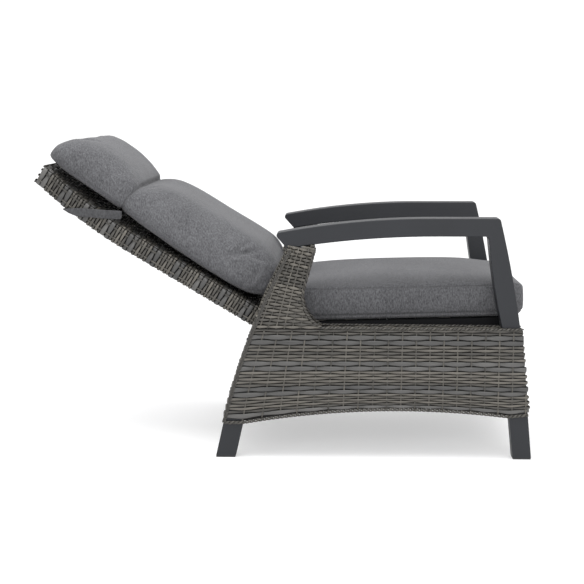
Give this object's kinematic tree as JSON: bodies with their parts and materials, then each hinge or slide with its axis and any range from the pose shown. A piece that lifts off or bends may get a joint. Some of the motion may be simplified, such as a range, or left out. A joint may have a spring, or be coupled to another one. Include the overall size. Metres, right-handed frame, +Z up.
{
  "type": "reclining sun lounger",
  "caption": "Garden armchair with woven sides on angled metal legs, curved metal arms, loose cushions and a back that reclines on two bolts against a lockable gas spring.",
  "frame": {"origin": "floor level, at the centre of the footprint of the chair with its back fully reclined", "axes": "+X the way the sitter faces, +Y the sitter's left, +Z up"},
  "size_m": [1.3512, 0.68, 0.855],
  "materials": {
    "weave": "woven grey-brown resin strand",
    "powder_coat": "satin anthracite powder coat",
    "frame_tube": "anthracite powder coat",
    "cushion_fabric": "mid-grey melange weave",
    "strap_webbing": "mid-grey melange weave",
    "seat_webbing": "black elastic webbing",
    "steel": "zinc-plated steel",
    "chrome_rod": "polished hard chrome",
    "black_enamel": "semi-gloss black enamel",
    "black_plastic": "moulded black plastic"
  },
  "bodies": {
    "base": {"side_weave_left": "weave", "side_weave_right": "weave", "front_apron_weave": "weave", "rear_apron_weave": "weave", "front_leg_left": "powder_coat", "front_leg_right": "powder_coat", "rear_leg_left": "powder_coat", "rear_leg_right": "powder_coat", "arm_left": "powder_coat", "arm_right": "powder_coat", "side_rails_left": "frame_tube", "side_rails_right": "frame_tube", "front_apron_rails": "frame_tube", "rear_apron_rails": "frame_tube", "seat_frame": "frame_tube", "spring_cross_tube": "frame_tube", "spring_bracket": "frame_tube", "pivot_brackets": "frame_tube", "seat_cleats": "frame_tube", "seat_cushion": "cushion_fabric", "seat_webbing": "seat_webbing", "arm_screws": "steel", "cleat_screws": "steel", "pivot_bolts": "steel", "spring_front_pin": "steel", "release_head": "steel", "gas_spring_rod": "chrome_rod", "foot_glides": "black_plastic", "lever_bearings": "black_plastic"},
    "backrest": {"back_frame": "frame_tube", "back_weave": "weave", "back_cushion": "cushion_fabric", "back_strap": "strap_webbing", "spring_clevis": "frame_tube", "spring_rear_pin": "steel", "pivot_bushes": "black_plastic", "pivot_lugs": "frame_tube"},
    "gas_cylinder": {"gas_spring_cylinder": "black_enamel", "gas_spring_eye": "black_enamel"},
    "release_lever": {"lever_shaft": "steel", "lever_plate": "steel", "lever_grip": "black_plastic"},
    "release_button": {"release_button": "black_plastic"}
  },
  "joints": [
    {"name": "back_recline", "type": "hinge", "parent": "base", "child": "backrest", "pos_m": [0.002, 0, 0.42], "axis": [0, 1, 0], "range_deg": [0, 40]},
    {"name": "spring_stroke", "type": "slide", "parent": "base", "child": "gas_cylinder", "axis": [-0.98, 0, 0.1988], "range_m": [0, 0.0698]},
    {"name": "release_lever", "type": "hinge", "parent": "base", "child": "release_lever", "pos_m": [0.29618, 0, 0.28339], "axis": [0, -1, 0], "range_deg": [0, 15], "stiffness_Nm_per_rad": 1.5, "springref_deg": -5.73},
    {"name": "release_button", "type": "slide", "parent": "base", "child": "release_button", "axis": [-0.1988, 0, -0.98], "range_m": [0, 0.0027]}
  ],
  "couplings": [
    {"joint": "spring_stroke", "follows": "back_recline", "m_per_rad": 0.099795},
    {"joint": "release_button", "follows": "release_lever", "m_per_rad": 0.01}
  ]
}
